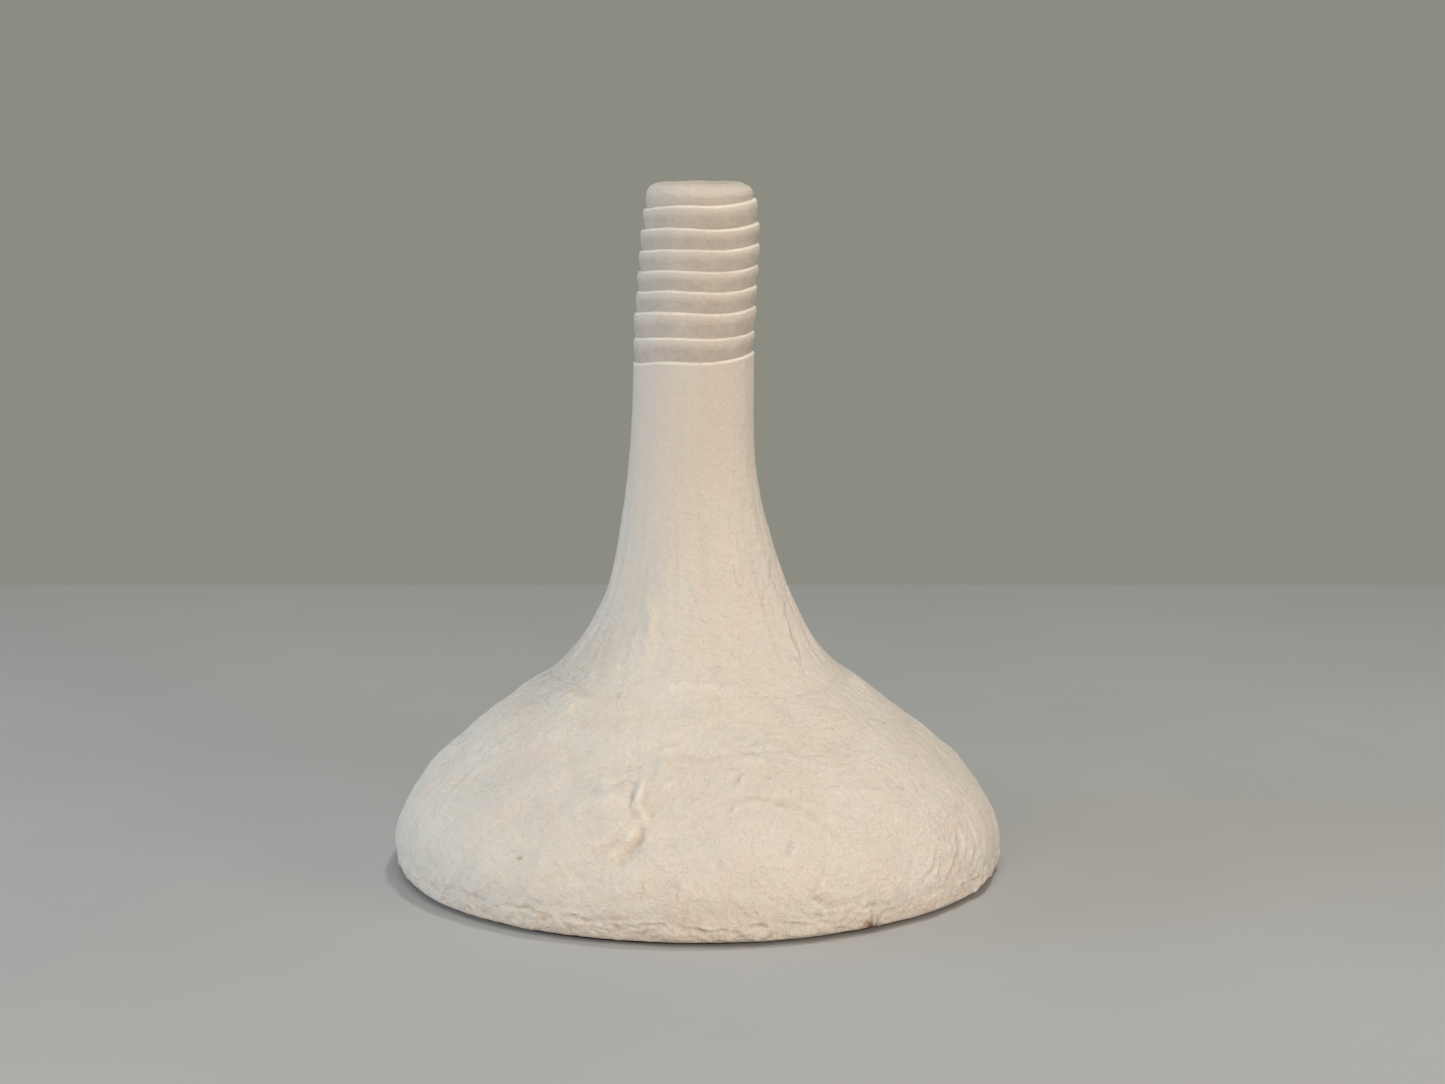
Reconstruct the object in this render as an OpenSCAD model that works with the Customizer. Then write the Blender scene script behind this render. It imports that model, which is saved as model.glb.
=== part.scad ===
// Hand-built stoneware bud vase: a wide, hollow, pinched mound that draws in to a
// flared stem, and a neck of stacked, flattened coils. Each member was formed by
// itself and luted to the next with a lapped joint, so each is a node of its own.
// Millimetres, +Z up, origin at the centre of the face that the vase stands on.

/* [Foot] */
// Radius of the ring that the vase stands on
foot_r = 83.8; // [82:0.2:85]
// Radius of the floor slab, inside the foot coil
slab_r = 79; // [78:0.5:80]
// Thickness of the floor slab
slab_t = 6; // [5:0.5:7]

/* [Mound] */
// Largest radius of the mound
belly_r = 89; // [87:0.2:91]
// Height of the widest line, where the foot coil meets the mound
belly_z = 8; // [7.6:0.1:9]
// Radius of the line where the stem's foot meets the mound
saddle_r = 42.6; // [41:0.2:44]
// Height of the line where the stem's foot meets the mound
saddle_z = 58; // [56:0.5:60]
// Thickness of the mound's wall
mound_t = 8; // [7:0.5:9]
// Radius of the mound's collar, which stands up inside the stem's foot
collar_r = 36.5; // [35.5:0.1:37]
// Height of the mound's collar above the saddle
collar_h = 3; // [2:0.5:3.5]

/* [Neck] */
// Overall height, foot to lip
height = 200; // [199:0.5:204]
// Radius of the stem just below the coiled bands
neck_r = 17.5; // [17:0.1:18.5]
// Height of the lowest groove, between the stem and the first band
first_groove_z = 149.9; // [148:0.1:151]
// Height of each coiled band in turn, lowest first; each from 5 to 7.2
band_h = [6.7, 7.1, 6.0, 5.7, 6.0, 6.0, 6.3];
// How much narrower the top band is than the first
band_taper = 1.0; // [0.4:0.1:1.2]
// Slope of the bands, in degrees, rising towards +X
band_tilt = 3.3; // [0:0.1:4]
// Depth of the groove between two bands
groove_d = 1.2; // [1:0.1:1.4]
// How far a band's foot goes down inside the lip of the member below
lap_h = 1.2; // [0.8:0.1:1.4]
// Thickness of that lapping lip at its edge
lap_t = 0.8; // [0.7:0.1:0.9]

/* [Mouth] */
// Radius of the bore through the neck
bore_r = 9; // [8:0.5:10]
// Radius of the highest line of the lip
crest_r = 10.6; // [10.6:0.1:11.5]
// Radius of the lip at its groove
lip_r = 15.9; // [15.7:0.1:16.2]
// How far the outer rounding of the lip comes down
lip_round = 5.5; // [4.5:0.5:6]
// How far the inner rounding of the lip comes down
mouth_round = 1.6; // [1.2:0.1:2]
// Thickness of the glaze that lines the inside
glaze_t = 0.5; // [0.3:0.1:0.7]
// How far below the lip the glaze ends
glaze_gap = 4; // [3:0.5:6]

/* [Hidden] */
$fn = 128;
STEPS = 24;                    // straight pieces in each long curve
SHORT = 10;                    // and in each short one
CLEAR = 2;                     // how far a cutter runs past what it cuts
FULL = 0.36;                   // fullness of a rounded corner: 0 is sharp, 1 is cut straight
BULGE = 0.35;                  // how far the handles of a band's curve stand out past its radius
REACH = 0.15;                  // and how far they lie from its ends, as a share of its height
BANDS = len(band_h);

// Point at t, from 0 to 1, of the cubic curve with the control points p
function bezier(p, t) = pow(1 - t, 3) * p[0] + 3 * pow(1 - t, 2) * t * p[1]
                      + 3 * (1 - t) * pow(t, 2) * p[2] + pow(t, 3) * p[3];
function curve(p, n) = [for (k = [0:n]) bezier(p, k / n)];

// Short curve from start to end that rounds the corner between them
function rounding(start, corner, end) =
    curve([start, corner + FULL * (start - corner), corner + FULL * (end - corner), end], SHORT);

// Outer curves, each running upwards: the two ends and, between them, the two handles
// that it leans towards, as [radius, height]
foot_curve = [[foot_r, 0], [foot_r + 1.4, 2.9], [belly_r - 0.7, 1.7], [belly_r, belly_z]];
dome_curve = [[belly_r, belly_z], [belly_r, belly_z + 9.6],
              [belly_r - 2.6, belly_z + 20.3], [saddle_r, saddle_z]];
flare_curve = [[saddle_r, saddle_z], [saddle_r - 22.8, saddle_z + 17.9],
               [neck_r, saddle_z + 61.4], [neck_r, first_groove_z]];

// Inner curves: the cove round the floor, then the underside of the dome, one wall's
// thickness inside it at the saddle, and the throat
cove_w = 11;
cove_h = 10;
cove_r = belly_r - mound_t;
cove_z = slab_t + cove_h;
saddle_slope = 56;             // from level, of a line square to the wall at the saddle
roof = [saddle_r, saddle_z] - mound_t * [cos(saddle_slope), sin(saddle_slope)];
roof_curve = [[cove_r, cove_z], [cove_r, cove_z + 3], [cove_r - 1.6, cove_z + 9], roof];
throat_curve = [roof, [roof[0] - 19, roof[1] + 14.6],
                [bore_r, roof[1] + 44], [bore_r, first_groove_z]];

// Space inside the vase, drawn in by g all round, up to the height top
module cavity(g = 0, top = height + CLEAR) {
    cove = rounding([cove_r - cove_w, slab_t], [cove_r, slab_t], [cove_r, cove_z]);
    inner = concat(cove, curve(roof_curve, STEPS), curve(throat_curve, STEPS));
    side = [for (p = inner) [p[0] - g, max(p[1], slab_t + g)]];
    rotate_extrude() polygon(concat([[0, slab_t + g]], side, [[bore_r - g, top], [0, top]]));
}

// Radius of band i at its widest, the radius of its foot, the height of the bands
// stacked below it, and the height of its seat on the axis; BANDS + 1 is the lip
function band_r(i) = neck_r - band_taper * pow((i - 1) / (BANDS - 1), 2);
function band_foot_r(i) = min(band_r(i), i > BANDS ? lip_r : neck_r) - groove_d;
function stacked(i) = i < 2 ? 0 : band_h[i - 2] + stacked(i - 1);
function seat_z(i) = first_groove_z - lap_h + stacked(i);

// Places its children on the sloping seat of band i
module on_seat(i) translate([0, 0, seat_z(i)]) rotate([0, -band_tilt, 0]) children();

// The recess that the foot of band i fills
module foot_recess(i) on_seat(i) cylinder(r = band_foot_r(i), h = lap_h + CLEAR);

// Section of band i from its foot to its lapping lip: a soft bulge between two grooves
function band_section(i) = let (h = band_h[i - 1] * cos(band_tilt), r = band_r(i))
    concat([[0, 0], [band_foot_r(i), 0]],
           curve([[band_foot_r(i), lap_h], [r + BULGE, lap_h + REACH * h],
                  [r + BULGE, h - REACH * h], [band_foot_r(i + 1) + lap_t, h + lap_h]], SHORT),
           [[0, h + lap_h]]);

// Round slab that closes the bottom
module floor_slab() color("#cfc4b2") cylinder(r = slab_r, h = slab_t);

// Coil pressed round the slab's edge, over the seam between floor and mound
module foot_coil() color("#d8cbb8") rotate_extrude()
    polygon(concat([[slab_r, 0]], curve(foot_curve, SHORT), [[slab_r, belly_z]]));

// Pinched dome: stands on the slab and the coil, and ends in a collar
module mound_wall() color("#ddd0bd") difference() {
    rotate_extrude() polygon(concat(
        [[0, slab_t], [slab_r, slab_t], [slab_r, belly_z]],
        curve(dome_curve, STEPS),
        [[collar_r, saddle_z], [collar_r, saddle_z + collar_h], [0, saddle_z + collar_h]]));
    cavity();
}

// Stem: its foot fits over the collar, and its sloping top takes the first band
module flared_stem() color("#d5c8b6") difference() {
    rotate_extrude() polygon(concat(
        [[0, saddle_z + collar_h], [collar_r, saddle_z + collar_h], [collar_r, saddle_z]],
        curve(flare_curve, STEPS),
        [[neck_r, first_groove_z + CLEAR], [0, first_groove_z + CLEAR]]));
    on_seat(1) translate([0, 0, lap_h]) cylinder(r = 2 * neck_r, h = 3 * CLEAR);
    foot_recess(1);
    cavity();
}

// One flattened coil of the neck
module neck_band(i) color(i % 2 == 0 ? "#d8cab7" : "#cdbfad") difference() {
    on_seat(i) rotate_extrude() polygon(band_section(i));
    foot_recess(i + 1);
    cavity();
}

// Last coil, with a level, rounded lip and a sloping foot
module lip_band() color("#dfd3c1") difference() {
    rotate_extrude() polygon(concat(
        [[0, seat_z(BANDS + 1) - CLEAR], [lip_r, seat_z(BANDS + 1) - CLEAR]],
        rounding([lip_r, height - lip_round], [lip_r, height], [crest_r, height]),
        rounding([crest_r, height], [bore_r, height], [bore_r, height - mouth_round]),
        [[0, height - mouth_round]]));
    on_seat(BANDS + 1) translate([0, 0, -4 * CLEAR]) cylinder(r = 2 * lip_r, h = 4 * CLEAR);
    on_seat(BANDS + 1) difference() {
        cylinder(r = 2 * lip_r, h = lap_h);
        cylinder(r = band_foot_r(BANDS + 1), h = lap_h);
    }
    cavity();
}

// Thin coat of clear glaze over the whole inside
module liner_glaze() color("#a9b3a6") difference() {
    cavity(0, height - glaze_gap);
    cavity(glaze_t);
}

floor_slab();
foot_coil();
mound_wall();
flared_stem();
for (i = [1:BANDS]) neck_band(i);
lip_band();
liner_glaze();
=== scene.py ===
import math
from itertools import product

import bpy
import numpy as np
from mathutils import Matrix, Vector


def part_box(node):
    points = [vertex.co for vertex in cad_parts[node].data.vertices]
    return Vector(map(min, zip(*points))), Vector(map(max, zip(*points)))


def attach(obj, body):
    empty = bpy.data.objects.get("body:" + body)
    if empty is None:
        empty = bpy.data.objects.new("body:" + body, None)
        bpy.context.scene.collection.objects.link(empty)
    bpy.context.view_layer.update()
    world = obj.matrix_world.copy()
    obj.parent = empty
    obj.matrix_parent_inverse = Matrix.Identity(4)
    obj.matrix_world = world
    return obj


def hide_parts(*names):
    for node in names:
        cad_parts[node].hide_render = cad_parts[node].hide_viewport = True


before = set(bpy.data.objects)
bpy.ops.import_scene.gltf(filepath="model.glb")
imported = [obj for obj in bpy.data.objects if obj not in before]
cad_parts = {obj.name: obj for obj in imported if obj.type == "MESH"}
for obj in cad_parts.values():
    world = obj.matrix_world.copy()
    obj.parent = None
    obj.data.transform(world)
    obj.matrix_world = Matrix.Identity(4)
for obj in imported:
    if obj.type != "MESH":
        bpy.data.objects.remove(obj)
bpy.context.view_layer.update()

# Looks of a hand-built stoneware bud vase. Lengths are in millimetres until a mesh is
# made. Azimuth is in degrees round the axis, from the front (-Y) towards +X.

MM = 0.001

# ------------------------------------------------------------------ sizes


def size_of(node):
    """Lowest and highest corner of a CAD node, in millimetres."""
    low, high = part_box(node)
    return np.array(low) / MM, np.array(high) / MM


BAND_NODES = [f"neck_band_{i}" for i in range(1, 8)]
COIL_TOP = size_of("foot_coil")[1]
STEM_LOW, STEM_TOP = size_of("flared_stem")
HEIGHT = size_of("lip_band")[1][2]
SLAB_TOP = size_of("floor_slab")[1]

BELLY_LIMIT = COIL_TOP[1]          # no piece stands out past this radius
BELLY_R = BELLY_LIMIT - 0.6        # mean radius, with room for the undulation
BELLY_Z = COIL_TOP[2]
FOOT_R = BELLY_LIMIT - 5.2
SLAB_R = SLAB_TOP[1]
SLAB_T = SLAB_TOP[2]
SADDLE_R = STEM_TOP[1]
SADDLE_Z = STEM_LOW[2]
COLLAR_R = SADDLE_R - 6.1
COLLAR_Z = SADDLE_Z + 3.0
BORE_R = 9.0
LAP = 1.2                          # how far a band's foot goes down into its seat
FOOT_INSET = 1.25                  # foot radius, in from the band's widest line
CAD_TILT = math.radians(3.3)       # slope of the seats in the CAD model


def groove_height(node):
    """Height on the axis of the groove under a band."""
    low, high = size_of(node)
    return low[2] + (high[1] - FOOT_INSET) * math.sin(CAD_TILT) + LAP


GROOVES = [groove_height(node) for node in BAND_NODES + ["lip_band"]]
BAND_R = [17.3, 17.45, 17.35, 17.25, 17.2, 17.0, 16.4]
LIP_R = size_of("lip_band")[1][1] - 0.4
NECK_R = size_of("neck_band_1")[1][1] - 0.1
# How far each groove rises from the front of the neck to its right, and how much of
# that it keeps for the last stretch round the side
GROOVE_RISE = [1.15, 0.55, 0.5, 0.5, 0.5, 0.7, 0.6, 1.1]
GROOVE_BEND = 0.45

# ------------------------------------------------------------------ noise

RNG = np.random.default_rng(20)
SHUFFLE = np.tile(RNG.permutation(256), 3)
ARROWS = RNG.normal(size=(256, 3))
ARROWS /= np.linalg.norm(ARROWS, axis=1, keepdims=True)


def noise(points, size, seed=0):
    """Smooth gradient noise of about -1 to 1, with features about `size` across."""
    q = points / size + np.array([17.3, 9.1, 31.7]) * (seed + 1)
    cell = np.floor(q).astype(np.int64)
    part = q - cell
    fade = part ** 3 * (part * (part * 6 - 15) + 10)
    cell &= 255
    total = np.zeros(points.shape[:-1])
    for corner in product((0, 1), repeat=3):
        at = cell + np.array(corner)
        key = SHUFFLE[SHUFFLE[SHUFFLE[at[..., 0]] + at[..., 1]] + at[..., 2]]
        weight = np.where(corner, fade, 1 - fade).prod(-1)
        total += weight * ((part - corner) * ARROWS[key]).sum(-1)
    return total * 1.7


def layers(points, size, count, seed, gain=0.6):
    """Noise of several sizes, each half the one before and `gain` times as strong."""
    return sum(gain ** k * noise(points, size / 2 ** k, seed + k) for k in range(count))


def shifted(points, size, reach, seed):
    """Points pushed about by up to `reach`, which makes what is drawn on them irregular."""
    push = [noise(points, size, seed + k) for k in range(3)]
    return points + reach * np.stack(push, -1)


def ridges(points, size, width, seed=0):
    """Thin winding lines: 1 on a line, falling to 0 within `width` of it."""
    return np.clip(1 - np.abs(noise(points, size, seed)) / width, 0, 1)


def ramp(x, low, high):
    """0 below low, 1 above high (or the other way round), smooth between."""
    t = np.clip((x - low) / (high - low), 0, 1)
    return t * t * (3 - 2 * t)


# ------------------------------------------------------------------ outline


def bezier(points, count):
    """`count` points along the cubic curve with these four control points."""
    t = np.linspace(0, 1, count)[:, None]
    a, b, c, d = np.array(points, float)
    return (1 - t) ** 3 * a + 3 * (1 - t) ** 2 * t * b + 3 * (1 - t) * t ** 2 * c + t ** 3 * d


GAP = 0.8                          # height of the dark gap under the foot coil's edge
EDGE_R = FOOT_R + 0.9              # how far in the gap goes
STEM_R = NECK_R - 0.1
FOOT_CURVE = [[EDGE_R, GAP], [EDGE_R + 2.4, GAP],
              [BELLY_R - 0.2, GAP + 1.6], [BELLY_R, BELLY_Z]]
DOME_CURVE = [[BELLY_R, BELLY_Z], [BELLY_R, BELLY_Z + 9.6],
              [BELLY_R - 2.6, BELLY_Z + 20.3], [SADDLE_R, SADDLE_Z]]
FLARE_CURVE = [[SADDLE_R, SADDLE_Z], [SADDLE_R - 22.8, SADDLE_Z + 17.9],
               [STEM_R, SADDLE_Z + 61.4], [STEM_R, GROOVES[0]]]
AT_BELLY, AT_SADDLE, AT_NECK = 199, 598, 997    # where each curve ends in the outline
ABOVE = 10                         # how far the outline goes on past the lowest groove
OUTLINE = np.concatenate([
    [[FOOT_R, 0]],
    bezier(FOOT_CURVE, AT_BELLY),
    bezier(DOME_CURVE, AT_SADDLE - AT_BELLY + 1)[1:],
    bezier(FLARE_CURVE, AT_NECK - AT_SADDLE + 1)[1:],
    [[STEM_R, GROOVES[0] + ABOVE]]])
RUN = np.concatenate([[0], np.cumsum(np.hypot(*np.diff(OUTLINE, axis=0).T))])
RUN_BELLY, RUN_SADDLE, RUN_NECK = RUN[AT_BELLY], RUN[AT_SADDLE], RUN[AT_NECK]
SLOPE_STEP = 0.8                   # the outline's slope is taken over this much either way


def outline_at(run):
    """Radius, height and outward normal of the outline, `run` mm along it from the foot."""
    radius = np.interp(run, RUN, OUTLINE[:, 0])
    height = np.interp(run, RUN, OUTLINE[:, 1])
    after, before = run + SLOPE_STEP, run - SLOPE_STEP
    d_r = np.interp(after, RUN, OUTLINE[:, 0]) - np.interp(before, RUN, OUTLINE[:, 0])
    d_z = np.interp(after, RUN, OUTLINE[:, 1]) - np.interp(before, RUN, OUTLINE[:, 1])
    length = np.hypot(d_r, d_z)
    return radius, height, d_z / length, -d_r / length


def run_at(height):
    """How far along the outline a height is."""
    return np.interp(height, OUTLINE[:, 1], RUN)


def around(azimuth, radius, height):
    """Points at an azimuth, radius and height."""
    a = np.radians(azimuth)
    return np.stack(np.broadcast_arrays(radius * np.sin(a), -radius * np.cos(a), height), -1)


def all_round(count):
    """`count` azimuths, evenly spaced."""
    return np.arange(count) * 360 / count


def skin_frame(azimuth, height):
    """A point on the smooth outline, and its directions east, up and out."""
    radius, height, n_r, n_z = outline_at(run_at(height))
    a = math.radians(azimuth)
    east = np.array([math.cos(a), math.sin(a), 0])
    out = np.array([math.sin(a) * n_r, -math.cos(a) * n_r, n_z])
    return around(azimuth, radius, height), east, np.cross(out, east), out


# ------------------------------------------------------------------ hand marks

RIM_OFFSET = 1.9                   # a stroke's rim is this many of its widths off its line


def lump(points, azimuth, height, width, tall, rise, turn):
    """A soft oval bump (or a dent, if rise is negative), turned by `turn` degrees."""
    middle, east, up, _ = skin_frame(azimuth, height)
    offset = points - middle
    c, s = math.cos(math.radians(turn)), math.sin(math.radians(turn))
    across = offset @ (c * east + s * up) / (width / 2)
    along = offset @ (c * up - s * east) / (tall / 2)
    return rise * np.exp(-(across ** 2 + along ** 2))


def stroke(points, path, width, rise, edge, side):
    """A line drawn in the clay along `path`, a list of (azimuth, height).

    rise is its height (negative for a groove), fading at both ends. edge raises a
    rim beside it: on the left of the path if side is 1, the right if -1, both if 0.
    """
    places = [skin_frame(*p) for p in path]
    length = len(places) - 1
    best = np.full(points.shape[:-1], 1e9)
    along = np.zeros_like(best)
    offset = np.zeros_like(best)
    for k in range(length):
        start, end = places[k][0], places[k + 1][0]
        line = end - start
        t = np.clip((points - start) @ line / (line @ line), 0, 1)
        away = points - start - t[..., None] * line
        distance = np.sqrt((away ** 2).sum(-1))
        left = np.cross(places[k][3], line / np.linalg.norm(line))
        closer = distance < best
        best = np.where(closer, distance, best)
        along = np.where(closer, (k + t) / length, along)
        offset = np.where(closer, np.sign(away @ left), offset)
    fade = np.clip(np.sin(np.pi * np.clip(along, 0.02, 0.98)), 0, 1) ** 0.6
    shape = rise * np.exp(-(best / width) ** 2)
    chosen = np.clip(offset * side, 0, 1) if side else 1.0
    rim = edge * np.exp(-((best - RIM_OFFSET * width) / width) ** 2) * chosen
    return (shape + rim) * fade


MOUND_LUMPS = [
    # azimuth, height, width, tall, rise, turn
    (-18.5, 34, 13, 14, 1.3, 20),
    (-21, 39, 8, 6, 0.45, 0),
    (-19.5, 25, 7, 5, 0.35, 20),
    (-15.5, 30, 6, 5, 0.4, 30),
    (-8, 34, 9, 12, -0.9, 0),
    (-12, 24, 10, 8, -1.0, 35),
    (-26, 30, 12, 14, 0.3, 0),
    (-7.5, 47.5, 5, 4, 0.45, 20),
    (-8.2, 43.5, 4.5, 4, 0.5, 0),
    (-6.3, 39.2, 4.5, 3.5, 0.5, 30),
    (-6.2, 50.3, 5, 3, 0.35, 20),
    (-2, 45, 10, 8, -0.35, 0),
    (3, 38, 12, 6, -0.3, 0),
    (20.7, 47.4, 3.5, 2.5, 0.5, 0),
    (15.9, 44.7, 8, 4, 0.45, 0),
    (14, 39, 12, 5, -0.35, 10),
    (10, 28, 24, 16, 0.45, 0),
    (28.6, 31, 7, 4, 0.5, -10),
    (25, 27, 8, 8, -0.35, -20),
    (34.7, 25, 5, 4, -0.35, 0),
    (48, 26.2, 6, 5, -0.35, 0),
    (36, 36, 16, 12, 0.3, 0),
    (48.6, 22.7, 5, 5, 0.4, -10),
    (54, 17, 4, 9, 0.45, -12),
    (58, 16, 4, 10, -0.35, -12),
    (62, 16, 3.5, 10, 0.35, -10),
    (43, 12, 8, 5, -0.3, -30),
    (-34, 21, 6, 4, -0.35, 0),
    (-31, 18, 8, 6, 0.3, 0),
    (-46, 16, 12, 8, -0.3, 0),
    (-56, 37, 12, 10, -0.35, 30),
    (-70, 40, 14, 14, 0.4, 25),
    (-75, 22, 14, 16, 0.35, 0),
    (-50, 46, 16, 10, 0.3, 20),
    (-30, 45, 18, 9, -0.3, 0),
    (60, 46, 16, 12, 0.35, -20),
    (84, 55, 16, 8, 0.7, 0),
    (88, 44, 16, 9, -0.6, 0),
    (-84, 46, 18, 14, 0.5, 0),
    (150, 30, 16, 20, -0.6, 20),
    (128, 22, 18, 14, 0.45, -20),
    (172, 44, 20, 14, 0.5, 10),
    (-165, 24, 14, 18, -0.5, -15),
    (-140, 36, 20, 14, 0.5, 25),
    (-118, 20, 16, 16, -0.45, 0),
    (-108, 48, 14, 10, -0.4, 0),
    (110, 40, 16, 12, -0.45, 30),
]

MOUND_STROKES = [
    # path, width, rise, edge, side
    ([(-13.8, 42), (-13.8, 38), (-13.5, 34.8), (-12.2, 32.6), (-10.8, 30)], 0.9, -0.5, 0.85, 1),
    ([(-10, 31), (-11.4, 27.3), (-13.2, 23.8)], 1.2, -0.7, 0.4, -1),
    ([(-18.5, 39), (-16, 40.5), (-13.6, 39.8)], 0.7, -0.5, 0.3, 1),
    ([(-14.5, 27), (-17, 25), (-19.5, 23)], 1.2, -0.4, 0.25, 0),
    ([(-20.3, 31.6), (-19.8, 30.8)], 0.6, -0.6, 0.1, 0),
    ([(-30.9, 27.8), (-30.6, 30.4)], 0.4, -0.3, 0.1, 0),
    ([(-29.8, 28.2), (-29.7, 30.8)], 0.4, -0.45, 0.15, 0),
    ([(-35, 20.6), (-33.2, 20.9)], 0.7, -0.7, 0.2, 0),
    ([(-36.8, 37.2), (-35.8, 38)], 0.6, -0.4, 0.1, 0),
    ([(-66, 45), (-64, 45.6)], 0.6, -0.4, 0.2, 0),
    ([(-65, 25), (-65.2, 31), (-64.6, 36), (-63, 43), (-58, 48)], 1.5, -0.35, 0.3, -1),
    ([(8.2, 38.9), (10, 41), (12.2, 42.6)], 0.8, -0.6, 0.3, 0),
    ([(6.6, 33.4), (8.3, 35.6)], 0.8, -0.45, 0.2, 0),
    ([(16.8, 40.7), (18.2, 41.1)], 0.8, -0.85, 0.3, 0),
    ([(16.5, 35.4), (19.5, 35.3)], 0.9, -0.4, 0.2, 0),
    ([(8.6, 46.9), (12, 46.8), (17.4, 46.3), (21.8, 46.3)], 0.6, -0.4, 0.3, 1),
    ([(1, 34), (8.6, 36.4), (15.4, 36.7), (20.6, 35), (25.1, 31.8), (27.7, 24.6)], 1.2, -0.3, 0.15, 0),
    ([(-9.4, 38.7), (-7.4, 45), (-1.7, 50.4), (2.9, 52.8), (8.9, 55.1), (16, 57)], 1.7, 0.32, 0, 0),
    ([(26, 31.2), (27.6, 28.4), (28.6, 24.6)], 0.9, -0.5, 0.3, -1),
    ([(19.9, 27.6), (17.8, 25.2), (16.9, 21.8)], 0.9, -0.5, 0.2, 1),
    ([(23.3, 20.8), (22.6, 17), (22, 14.9), (20, 13)], 0.6, -0.65, 0.3, 1),
    ([(20.5, 13.4), (21.6, 11.8), (23.3, 10), (28.2, 8.9)], 0.7, -0.8, 0.35, -1),
    ([(52.5, 21.5), (50, 17.2), (48.2, 13.7), (43.7, 9.5)], 0.8, -0.55, 0.25, 0),
    ([(60, 21), (57.5, 15), (52, 10)], 0.9, -0.35, 0.3, 0),
    ([(65, 22), (64.5, 14), (60, 9.8)], 0.8, -0.35, 0.3, 0),
    ([(60, 49.5), (64, 48.4), (68, 46.6)], 0.7, -0.5, 0.25, 0),
    ([(-9.5, 18), (-8.8, 12.5)], 0.6, -0.4, 0.15, 0),
    ([(-15.5, 20), (-15, 14)], 0.6, -0.3, 0.12, 0),
    ([(-17.5, 19), (-17.2, 15)], 0.6, -0.3, 0.12, 0),
    ([(-3.4, 18), (-3.2, 11)], 0.6, -0.3, 0.12, 0),
    ([(-1.6, 14), (-1.5, 10.5)], 0.6, -0.3, 0.12, 0),
    ([(10, 19), (9.7, 15)], 0.6, -0.25, 0.12, 0),
    ([(-30.9, 59.4), (-30.7, 57.2)], 0.5, -0.5, 0.15, 0),
    ([(140, 46), (150, 40), (158, 31), (160, 22)], 1.1, -0.7, 0.45, 1),
    ([(118, 30), (124, 26), (128, 19)], 1.0, -0.5, 0.3, -1),
    ([(-150, 44), (-143, 38), (-140, 30)], 1.1, -0.6, 0.4, -1),
    ([(-120, 32), (-114, 27), (-112, 19)], 1.0, -0.45, 0.3, 0),
    ([(-176, 26), (-178, 20), (-175, 14)], 0.9, -0.45, 0.3, 1),
    ([(95, 34), (99, 27), (99, 19)], 1.1, -0.45, 0.3, 0),
]

STEM_STROKES = [
    ([(-48, 120), (-46, 103), (-45, 95)], 1.3, -0.16, 0.08, 0),
    ([(-40, 84), (-37, 70), (-34, 61)], 1.7, -0.42, 0.22, 1),
    ([(-33, 80), (-31, 72), (-29.5, 66)], 1.2, -0.28, 0.2, 0),
    ([(-56, 76), (-50, 66), (-46, 60)], 1.3, -0.35, 0.2, 0),
    ([(-64, 78), (-58, 68), (-54, 62)], 1.2, -0.3, 0.18, 0),
    ([(-25, 86), (-21, 74), (-18, 62)], 1.9, -0.35, 0.22, -1),
    ([(-30, 82), (-27, 74)], 1.4, 0.26, 0, 0),
    ([(-12, 66), (-9, 59)], 3.4, 0.4, 0, 0),
    ([(-4, 73), (-2, 64), (-1, 59)], 1.3, -0.25, 0.12, 0),
    ([(5, 92), (4, 80)], 1.2, -0.14, 0.08, 0),
    ([(27, 124), (28, 103), (26, 90), (26, 76)], 1.2, -0.3, 0.2, 1),
    ([(36, 112), (36, 96), (36, 84)], 1.2, -0.2, 0.12, 0),
    ([(68, 82), (62, 72), (57, 65), (51, 58.5)], 1.6, -0.5, 0.35, -1),
    ([(44, 88), (42, 76), (38, 68)], 1.5, 0.2, 0, 0),
    ([(88, 84), (80, 72), (72, 63)], 1.5, -0.35, 0.22, 0),
    ([(110, 90), (112, 74), (114, 62)], 1.7, -0.45, 0.25, 1),
    ([(135, 86), (138, 72), (140, 61)], 1.5, -0.35, 0.2, 0),
    ([(165, 100), (168, 82), (170, 64)], 1.8, -0.45, 0.25, -1),
    ([(-170, 84), (-166, 72), (-162, 62)], 1.5, -0.35, 0.2, 0),
    ([(-140, 92), (-138, 76), (-136, 62)], 1.7, -0.4, 0.25, 1),
    ([(-112, 88), (-108, 74), (-104, 62)], 1.6, -0.4, 0.22, 0),
    ([(-86, 80), (-82, 70), (-78, 61)], 1.3, -0.3, 0.2, 0),
]

STEM_LUMPS = [
    (0, 60.5, 30, 7, 0.7, 0),
    (-2, 55, 34, 5, -0.4, 0),
    (-70, 66, 20, 16, 0.3, 0),
    (60, 84, 22, 24, 0.25, 0),
    (30, 62, 20, 8, -0.2, 0),
    (-95, 100, 24, 34, 0.35, 0),
    (95, 118, 24, 34, -0.3, 0),
]

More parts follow.
